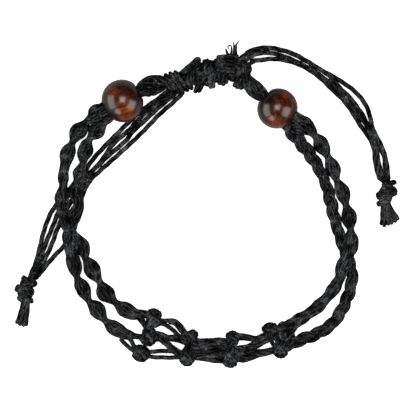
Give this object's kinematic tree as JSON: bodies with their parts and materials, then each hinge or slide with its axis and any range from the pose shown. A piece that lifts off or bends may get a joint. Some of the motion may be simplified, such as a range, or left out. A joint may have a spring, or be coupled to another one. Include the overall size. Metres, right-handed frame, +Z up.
{
  "type": "macrame bracelet",
  "caption": "Black waxed-cord macrame bracelet with twisted braids, round wooden beads, an empty knotted stone net and a sliding knot with knotted tails.",
  "frame": {"origin": "on the surface that the bracelet lies on, below the middle of the closed loop, without the tails", "axes": "+Z up from the surface, +Y from the stone net towards the sliding knot, +X towards the shorter tail"},
  "size_m": [0.0767, 0.0646, 0.0086],
  "materials": {
    "waxed_cord": "waxed, a slight sheen on the plies",
    "wood_bead": "red-brown grain under clear gloss lacquer"
  },
  "bodies": {
    "root": {"left_bead": "wood_bead", "right_bead": "wood_bead", "left_bundle": "waxed_cord", "right_bundle": "waxed_cord", "left_outer_strand": "waxed_cord", "left_inner_strand": "waxed_cord", "right_outer_strand": "waxed_cord", "right_inner_strand": "waxed_cord", "net_knot_1": "waxed_cord", "net_knot_2": "waxed_cord", "net_knot_3": "waxed_cord", "net_knot_4": "waxed_cord", "net_knot_5": "waxed_cord", "net_knot_6": "waxed_cord", "net_knot_7": "waxed_cord", "net_knot_8": "waxed_cord", "net_knot_9": "waxed_cord", "net_cords_left": "waxed_cord", "net_band": "waxed_cord", "net_cords_right": "waxed_cord", "sliding_knot": "waxed_cord", "left_tail_1": "waxed_cord", "left_tail_2": "waxed_cord", "left_tail_3": "waxed_cord", "left_tail_4": "waxed_cord", "right_tail_1": "waxed_cord", "right_tail_2": "waxed_cord", "right_tail_3": "waxed_cord", "right_tail_4": "waxed_cord", "left_end_knot": "waxed_cord", "right_end_knot": "waxed_cord", "left_cut_ends": "waxed_cord", "right_cut_ends": "waxed_cord"}
  },
  "joints": []
}
